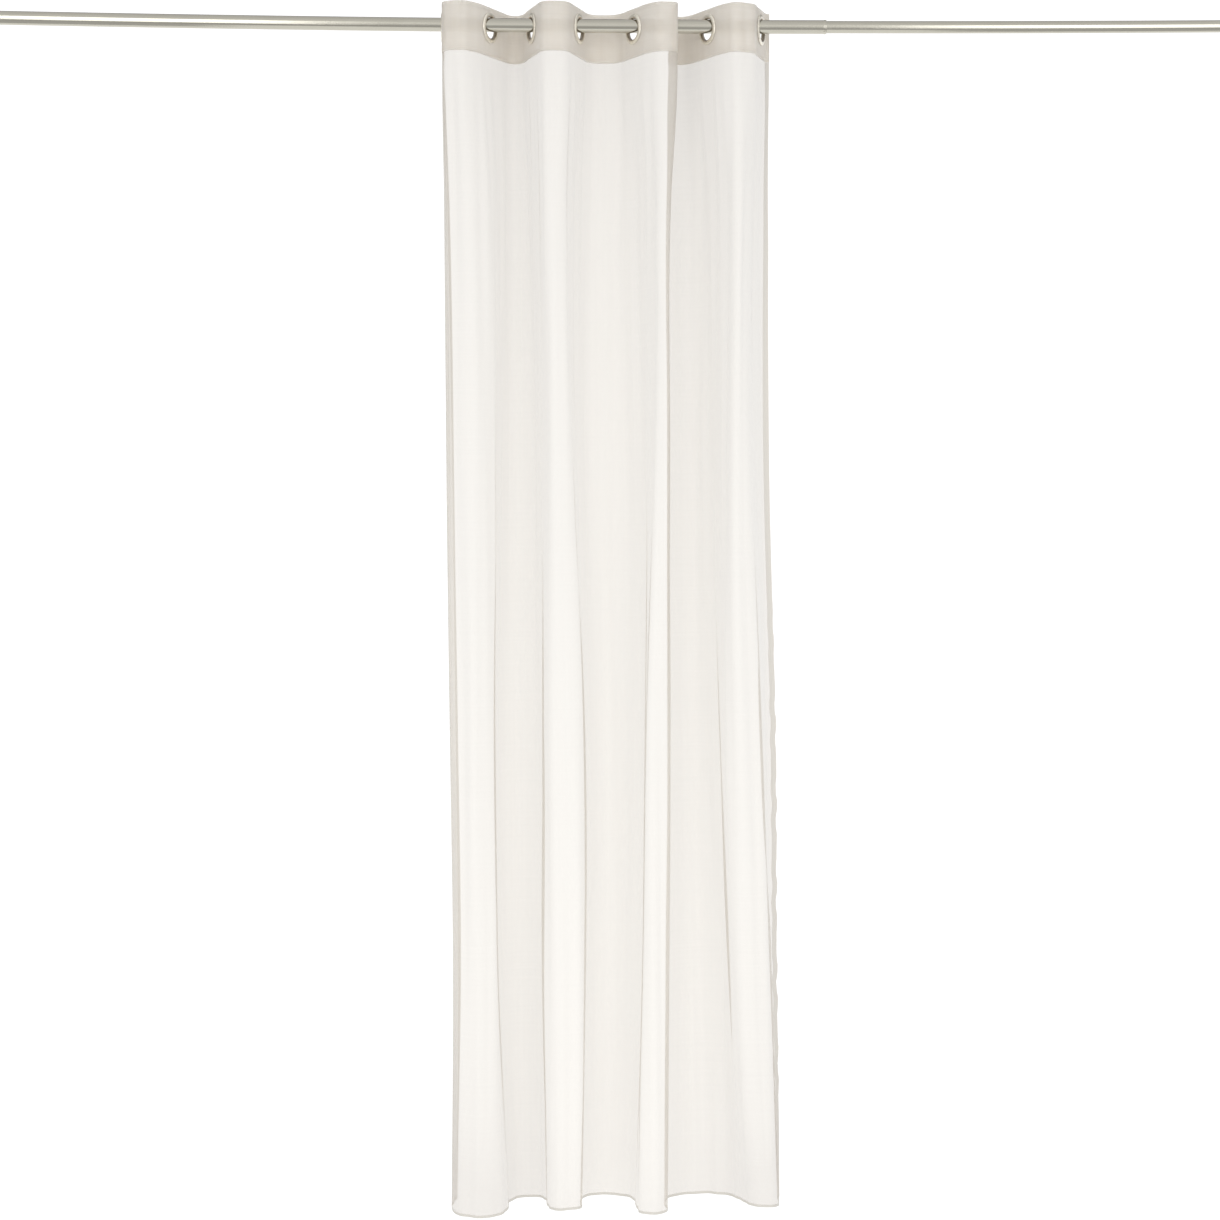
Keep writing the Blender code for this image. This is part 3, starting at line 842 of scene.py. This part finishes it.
def stitches(width, depth, side, thickness):
    """A row of stitches through (width, depth) points: each a small spindle that lies on the cloth.

    A spindle is rings of four points whose radius follows a half sine along its length.
    """
    along_row = np.concatenate([[0.0], np.cumsum(np.hypot(np.diff(width), np.diff(depth)))])
    count = int(along_row[-1] / STITCH_PITCH)
    start = (np.arange(count) + STITCH_START) * STITCH_PITCH
    share = np.linspace(0.0, 1.0, STITCH_RINGS)
    at = start[:, None] + share[None, :] * STITCH_LENGTH
    w = np.interp(at, along_row, width)
    d = np.interp(at, along_row, depth)
    centre = FOLDS.at(w, d)
    away = FOLDS.away(w, d)
    out = points_of(away[..., 0], away[..., 1], 0.0) * side
    way = centre[:, -1:] - centre[:, :1]
    way = np.broadcast_to(way / np.linalg.norm(way, axis=-1, keepdims=True), centre.shape)
    across = np.cross(way, out)
    swell = np.sin(np.pi * share)
    lift = 0.5 * thickness + STITCH_RADIUS * (swell - STITCH_SINK)
    centre = centre + out * lift[None, :, None]
    radius = STITCH_RADIUS * (STITCH_TIP + (1.0 - STITCH_TIP) * swell)[None, :, None, None]
    angle = np.arange(STITCH_SIDES) * (2 * np.pi / STITCH_SIDES)
    round_out = out[:, :, None] * np.cos(angle)[:, None] + across[:, :, None] * np.sin(angle)[:, None]
    points = centre[:, :, None] + radius * round_out
    body = grid_faces(STITCH_RINGS, STITCH_SIDES, closed=True)
    cap = np.arange(STITCH_SIDES)
    one = np.concatenate([body, [cap[::-1]], [cap + (STITCH_RINGS - 1) * STITCH_SIDES]])
    faces = one[None] + (np.arange(count) * STITCH_RINGS * STITCH_SIDES)[:, None, None]
    return points.reshape(-1, 3), faces.reshape(-1, 4)


def make_stitching(settings):
    """Rows of stitches: heading, side hems and bottom hem, on both faces of the cloth."""
    even = np.linspace(0.0, CLOTH_WIDTH, ROW_POINTS["across"])
    inset = STITCH_ROWS_IN
    down = np.linspace(
        HEADING_DEPTH + inset["side_top"], HEM_DEPTH - inset["side_foot"], ROW_POINTS["down"]
    )
    rows = [
        (even, np.full_like(even, TOP_DEPTH + inset["heading_top"]), HEADING_THICKNESS),
        (even, np.full_like(even, HEADING_DEPTH - inset["heading_foot"]), HEADING_THICKNESS),
        (even, FOLDS.hem(even) - BOTTOM_HEM, 0.0),
        (np.full_like(down, SIDE_HEM), down, 0.0),
        (np.full_like(down, CLOTH_WIDTH - SIDE_HEM), down, 0.0),
    ]
    points, faces, count = [], [], 0
    for width, depth, thickness in rows:
        for side in (-1.0, 1.0):
            row_points, row_faces = stitches(width, depth, side, thickness)
            points.append(row_points)
            faces.append(row_faces + count)
            count += len(row_points)
    obj = mesh_object("hem_and_heading_stitches", np.concatenate(points), np.concatenate(faces))
    dress(obj, thread_material(settings), "voile")
    return obj


def turned(profile, sides):
    """Points and quads of a closed section (along, radius) turned round the Z axis."""
    angle = 2 * np.pi * np.arange(sides)[:, None] / sides
    along, radius = profile.T
    points = points_of(radius * np.cos(angle), radius * np.sin(angle), along)
    row, spot = np.meshgrid(np.arange(sides), np.arange(len(along)), indexing="ij")
    step = len(along)
    next_row = (row + 1) % sides
    next_spot = (spot + 1) % step
    faces = np.stack(
        [row * step + spot, next_row * step + spot, next_row * step + next_spot, row * step + next_spot],
        axis=-1,
    )
    return points.reshape(-1, 3), faces.reshape(-1, 4)


def eyelet_section():
    """Closed section of one eyelet, as (along its axis, radius): two domed flanges and a round bore.

    Each half is a smooth curve through a few places from the rim to the middle of the bore.
    """
    spots = np.arange(len(EYELET_HALF), dtype=float)
    fine = np.linspace(0.0, spots[-1], EYELET_STEPS)
    columns = [[place[key] for place in EYELET_HALF] for key in ("along", "radius")]
    half = np.stack([smooth_rows(spots, column, fine) for column in columns], axis=1)
    other = half[-2::-1] * np.array([-1.0, 1.0])
    return np.concatenate([half, other])


def make_eyelets(settings):
    """Eight turned rings, each on its own solid's place and square to its flank."""
    section = eyelet_section()
    points, faces = turned(section, EYELET_SIDES)
    # Painted shade in the bore: 0 on the rim, rising to 1 inside it
    inside = np.clip((BORE_SHADE_FROM - section[:, 1]) / BORE_SHADE_OVER, 0.0, 1.0)
    material = eyelet_material(settings)
    for index, flank in enumerate(FLANKS):
        low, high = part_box(f"eyelet_{index + 1}")
        centre = 0.5 * (np.array(low) + np.array(high))
        side = -1.0 if index % 2 == 0 else 1.0
        across = way_of(float(flank["turn"][0]), side)
        flat = np.array([across[0], across[1], 0.0])
        axis = np.array([-across[1], across[0], 0.0])
        placed = (
            centre
            + points[:, :1] * flat
            + points[:, 1:2] * np.array([0.0, 0.0, 1.0])
            + points[:, 2:] * -axis
        )
        ring = mesh_object(f"eyelet_ring_{index + 1}", placed, faces)
        bore = ring.data.attributes.new("bore", "FLOAT", "POINT")
        bore.data.foreach_set("value", np.tile(inside, EYELET_SIDES).astype(np.float32))
        dress(ring, material, "eyelet_metal", f"eyelet_{index + 1}")


def bar_points(sections):
    """Rings round the rod's axis from (x, radius) sections; the axis sags towards its middle."""
    x, radius = np.array(sections).T
    angle = 2 * np.pi * np.arange(TUBE_SIDES) / TUBE_SIDES
    sag = ROD_SAG * (x / ROD_REACH) ** 2
    radius = radius[:, None]
    return points_of(x[:, None], radius * np.cos(angle), sag[:, None] + radius * np.sin(angle))


def bar_object(name, sections):
    """A turned bar with closed ends: a grid of rings, whose first and last shrink to a small hub."""
    points = bar_points(sections)
    faces = grid_faces(len(sections), TUBE_SIDES, closed=True)
    return mesh_object(name, points, faces[:, ::-1])


def tube_sections(start, end, radius):
    """Sections of one radius, a hand's width apart so that the bar follows its sag, close at its ends."""
    count = max(2, int(abs(end - start) / RING_SPACING))
    even = np.linspace(start + RING_NEAR, end - RING_NEAR, count)
    return [(x, radius) for x in (start, *even, end)]


def closing(x, radius, inward):
    """Sections that round off a flat end: a small bevel, then rings down to the middle."""
    ends = [(x + inward * ROD_BEVEL, radius), (x, radius - ROD_BEVEL)]
    return ends + [(x, radius * share) for share in END_SHARES]


def make_rod(settings):
    """The thicker tube with its rolled lip, and the thinner tube that comes out of it.

    The lip is a half circle in section, drawn out to its length and pressed to its rise.
    """
    lip = TUBE_JOINT_X - LIP_LENGTH
    outer = closing(-ROD_REACH, OUTER_TUBE_RADIUS, 1.0)[::-1]
    outer += tube_sections(-ROD_REACH + END_CLEAR, lip - LIP_CLEAR, OUTER_TUBE_RADIUS)
    outer += [
        (lip + 0.5 * LIP_LENGTH * (1 - math.cos(turn)), OUTER_TUBE_RADIUS + LIP_RISE * math.sin(turn))
        for turn in np.linspace(0.0, math.pi, LIP_STEPS)
    ]
    socket = INNER_TUBE_RADIUS + SLIDING_GAP
    outer += [(TUBE_JOINT_X, socket), (TUBE_JOINT_X - SOCKET_SHOWN, socket)]
    outer += [(TUBE_JOINT_X - SOCKET_SHOWN, HUB_RADIUS)]
    inner = [(TUBE_JOINT_X - INNER_START, HUB_RADIUS)]
    inner += tube_sections(TUBE_JOINT_X - INNER_START, ROD_REACH - END_CLEAR, INNER_TUBE_RADIUS)
    inner += closing(ROD_REACH, INNER_TUBE_RADIUS, -1.0)
    material = nickel_material(settings)
    for name, sections, node in (
        ("rod_outer_tube_shell", outer, "rod_outer_tube"),
        ("rod_inner_tube_shell", inner, "rod_inner_tube"),
    ):
        tube = bar_object(name, sections)
        dress(tube, material, "rod_metal", node)


def plain_material(name, colour, glow):
    """A matt white for the stage, lifted by a little light of its own, and clear from behind."""
    graph = Graph(bpy.data.materials.new(name))
    behind = Wire(graph, graph.node("ShaderNodeNewGeometry").outputs["Backfacing"])
    return graph.finish(
        Alpha=1.0 - behind,
        Base_Color=(colour, colour, colour, 1.0),
        Roughness=0.9,
        Emission_Color=(1.0, 1.0, 1.0, 1.0),
        Emission_Strength=glow,
    )


def make_sweep(settings):
    """Floor and backdrop in one: a narrow run, a wide run, a quarter circle and an upright run."""
    floor, back = settings.floor_height, settings.backdrop_distance
    angle = np.linspace(0.0, 0.5 * math.pi, BEND_RINGS)
    y = np.concatenate([[FLOOR_FRONT, *FLOOR_WIDENS], back - BEND_RADIUS * (1.0 - np.sin(angle)), [back]])
    z = np.concatenate([[floor] * 3, floor + BEND_RADIUS * (1.0 - np.cos(angle)), [BACKDROP_TOP]])
    half = np.where(y < FLOOR_WIDENS[1], *FLOOR_HALF_WIDTHS)
    points = points_of(half[:, None] * np.array([-1.0, 1.0]), y[:, None], z[:, None])
    sweep = mesh_object("studio_sweep", points, grid_faces(len(y), 2))
    sweep.data.materials.append(plain_material("studio_white", SWEEP_TONE, settings.sweep_glow))


def soft_light(name, place, aim, size, watts):
    """An area light at a place, turned to its aim."""
    data = bpy.data.lights.new(name, "AREA")
    data.shape = "RECTANGLE"
    data.size, data.size_y = size
    data.energy = watts
    light = bpy.data.objects.new(name, data)
    bpy.context.scene.collection.objects.link(light)
    light.location = place
    light.rotation_euler = (Vector(aim) - Vector(place)).to_track_quat("-Z", "Y").to_euler()


def make_camera():
    """The photograph's view: level, a little to the left of square on, framed by a small shift."""
    data = bpy.data.cameras.new("photo_camera")
    camera = bpy.data.objects.new("photo_camera", data)
    bpy.context.scene.collection.objects.link(camera)
    drop = (HORIZON_ROW - ROD_ROW) * METRES_PER_PIXEL
    camera.location = (
        -CAMERA_DISTANCE * math.sin(CAMERA_YAW),
        -CAMERA_DISTANCE * math.cos(CAMERA_YAW),
        -drop,
    )
    camera.rotation_euler = (math.radians(90.0), 0.0, -CAMERA_YAW)
    data.sensor_width = SENSOR_WIDTH
    data.lens = SENSOR_WIDTH * CAMERA_DISTANCE / METRES_PER_PIXEL / PHOTO_PIXELS
    data.shift_y = (HORIZON_ROW - 0.5 * PHOTO_PIXELS) / PHOTO_PIXELS
    data.clip_end = 100.0
    bpy.context.scene.camera = camera


def make_room(scene):
    """The room's own light: by height from ROOM_LIGHT, dimmer to the sides and behind.

    The camera itself sees plain white past the sweep.
    """
    scene.world = bpy.data.worlds.new("studio_room")
    graph = Graph(scene.world)
    way = graph.node("ShaderNodeTexCoord").outputs["Generated"]
    parts = graph.node("ShaderNodeSeparateXYZ", Vector=way)
    height = 0.5 + 0.5 * Wire(graph, parts.outputs[2])
    stops = [(0.5 + 0.5 * place, (light, light, light, 1.0)) for place, light in ROOM_LIGHT]
    ramp = graph.node("ShaderNodeValToRGB", stops=stops, Fac=height)
    rise = Wire(graph, parts.outputs[2])
    front = SIDE_LIGHT - FRONT_LIGHT * Wire(graph, parts.outputs[1]) + UPRIGHT_LIGHT * rise * rise
    seen = Wire(graph, graph.node("ShaderNodeLightPath").outputs["Is Camera Ray"])
    colour = graph.blend(seen, ramp.outputs[0], (1.0, 1.0, 1.0, 1.0))
    graph.finish(Color=colour, Strength=graph.math("MAXIMUM", graph.clamp(front), seen))


def colour_setting(name, description, default):
    """A setting that is a colour."""
    return bpy.props.FloatVectorProperty(name=name, description=description, default=default, subtype="COLOR")


def share_setting(name, description, default):
    """A setting between none and all."""
    return bpy.props.FloatProperty(name=name, description=description, default=default, subtype="FACTOR")


def length_setting(name, description, default):
    """A setting that is a distance, shown to a hundredth of a millimetre."""
    return bpy.props.FloatProperty(
        name=name, description=description, default=default, unit="LENGTH", precision=5
    )


def light_setting(name, description, default):
    """A setting for an amount of light."""
    return bpy.props.FloatProperty(name=name, description=description, default=default, min=0.0)


class ClothSettings(bpy.types.PropertyGroup):
    """Colours and cover of the voile, its hems and its heading."""

    voile_colour: colour_setting("Voile", "Light tone of the voile", (0.785, 0.743, 0.675))
    voile_shade: colour_setting("Voile shade", "Darker tone of the voile", (0.59, 0.545, 0.49))
    hem_colour: colour_setting("Hem", "Tone of the doubled hems", (0.53, 0.505, 0.45))
    heading_colour: colour_setting("Heading", "Light tone of the heading", (0.82, 0.77, 0.70))
    heading_shade: colour_setting("Heading shade", "Darker tone of the heading", (0.73, 0.675, 0.605))
    cover: share_setting("Cover", "How much of the voile is thread", 0.55)
    hem_cover: share_setting("Hem cover", "What the doubled hems add to the cover", 0.27)
    heading_cover: share_setting("Heading cover", "Cover of each face of the heading", 0.72)
    thread_pitch: length_setting("Thread pitch", "Distance between threads", 0.0009)


class MetalSettings(bpy.types.PropertyGroup):
    """Finish of the satin nickel."""

    nickel_colour: colour_setting("Nickel", "Light tone of the metal", (0.59, 0.57, 0.50))
    nickel_shade: colour_setting("Nickel shade", "Darker tone of the metal", (0.49, 0.47, 0.40))
    rim_colour: colour_setting("Rim", "Light tone of the eyelets' rims", (0.98, 0.93, 0.82))
    rim_shade: colour_setting("Rim shade", "Darker tone of the rims", (0.88, 0.83, 0.72))
    # Painted shade inside the eyelets' bore
    bore_painted_shade: colour_setting("Bore", "Tone inside the eyelets", (0.38, 0.33, 0.27))
    nickel_roughness: share_setting("Roughness", "Roughness of the satin finish", 0.15)


class StageSettings(bpy.types.PropertyGroup):
    """Places and light of the plain studio."""

    floor_height: length_setting("Floor", "Height of the floor from the rod", -2.62)
    backdrop_distance: length_setting("Backdrop", "Distance of the backdrop behind the rod", 3.0)
    sweep_glow: light_setting("Sweep glow", "Light that the white sweep gives off", 0.92)
    key_watts: light_setting("Key light", "Power of each soft light in front", 42.0)


class PieceOperator:
    """What the operators of the pieces share: each makes its own from its settings on the scene."""

    def execute(self, context):
        self.make(getattr(context.scene, self.settings))
        return {"FINISHED"}


class CURTAIN_OT_panel(PieceOperator, bpy.types.Operator):
    """Makes the voile panel in its folds"""

    bl_idname = "curtain.panel"
    bl_label = "Voile panel"
    settings = "curtain_cloth"
    make = staticmethod(make_panel)


class CURTAIN_OT_heading(PieceOperator, bpy.types.Operator):
    """Makes the stiffened heading with its eyelet holes"""

    bl_idname = "curtain.heading"
    bl_label = "Heading"
    settings = "curtain_cloth"
    make = staticmethod(make_heading)


class CURTAIN_OT_stitching(PieceOperator, bpy.types.Operator):
    """Sews the hems and the heading"""

    bl_idname = "curtain.stitching"
    bl_label = "Stitching"
    settings = "curtain_cloth"
    make = staticmethod(make_stitching)


class CURTAIN_OT_eyelets(PieceOperator, bpy.types.Operator):
    """Makes the eight metal eyelets"""

    bl_idname = "curtain.eyelets"
    bl_label = "Eyelets"
    settings = "curtain_metal"
    make = staticmethod(make_eyelets)


class CURTAIN_OT_rod(PieceOperator, bpy.types.Operator):
    """Makes the telescopic rod"""

    bl_idname = "curtain.rod"
    bl_label = "Rod"
    settings = "curtain_metal"
    make = staticmethod(make_rod)


class CURTAIN_OT_stage(bpy.types.Operator):
    """Makes the white sweep, the soft lights and the camera"""

    bl_idname = "curtain.stage"
    bl_label = "Stage"

    def execute(self, context):
        settings = context.scene.curtain_stage
        make_sweep(settings)
        for light in KEY_LIGHTS:
            soft_light(watts=settings.key_watts, **light)
        make_camera()
        make_room(context.scene)
        context.scene.view_settings.view_transform = "Standard"
        return {"FINISHED"}


class CURTAIN_PT_sidebar(bpy.types.Panel):
    """Lists the operators and the settings"""

    bl_idname = "CURTAIN_PT_sidebar"
    bl_label = "Sheer Voile Curtain"
    bl_space_type = "VIEW_3D"
    bl_region_type = "UI"
    bl_category = "Curtain"

    def draw(self, context):
        for operator in OPERATORS:
            self.layout.operator(operator.bl_idname)
        for name, group in SETTINGS.items():
            box = self.layout.box()
            for key in group.__annotations__:
                box.prop(getattr(context.scene, name), key)


OPERATORS = (
    CURTAIN_OT_panel,
    CURTAIN_OT_heading,
    CURTAIN_OT_stitching,
    CURTAIN_OT_eyelets,
    CURTAIN_OT_rod,
    CURTAIN_OT_stage,
)
SETTINGS = {"curtain_cloth": ClothSettings, "curtain_metal": MetalSettings, "curtain_stage": StageSettings}
CLASSES = (*SETTINGS.values(), *OPERATORS, CURTAIN_PT_sidebar)


def register():
    """Registers the classes and hangs the settings on the scene."""
    for cls in CLASSES:
        bpy.utils.register_class(cls)
    for name, group in SETTINGS.items():
        setattr(bpy.types.Scene, name, bpy.props.PointerProperty(type=group))


def unregister():
    """Removes the settings and the classes."""
    for name in SETTINGS:
        delattr(bpy.types.Scene, name)
    for cls in reversed(CLASSES):
        bpy.utils.unregister_class(cls)


def main():
    register()
    bpy.ops.curtain.panel()
    bpy.ops.curtain.heading()
    bpy.ops.curtain.stitching()
    bpy.ops.curtain.eyelets()
    bpy.ops.curtain.rod()
    bpy.ops.curtain.stage()


if __name__ == "__main__":
    main()
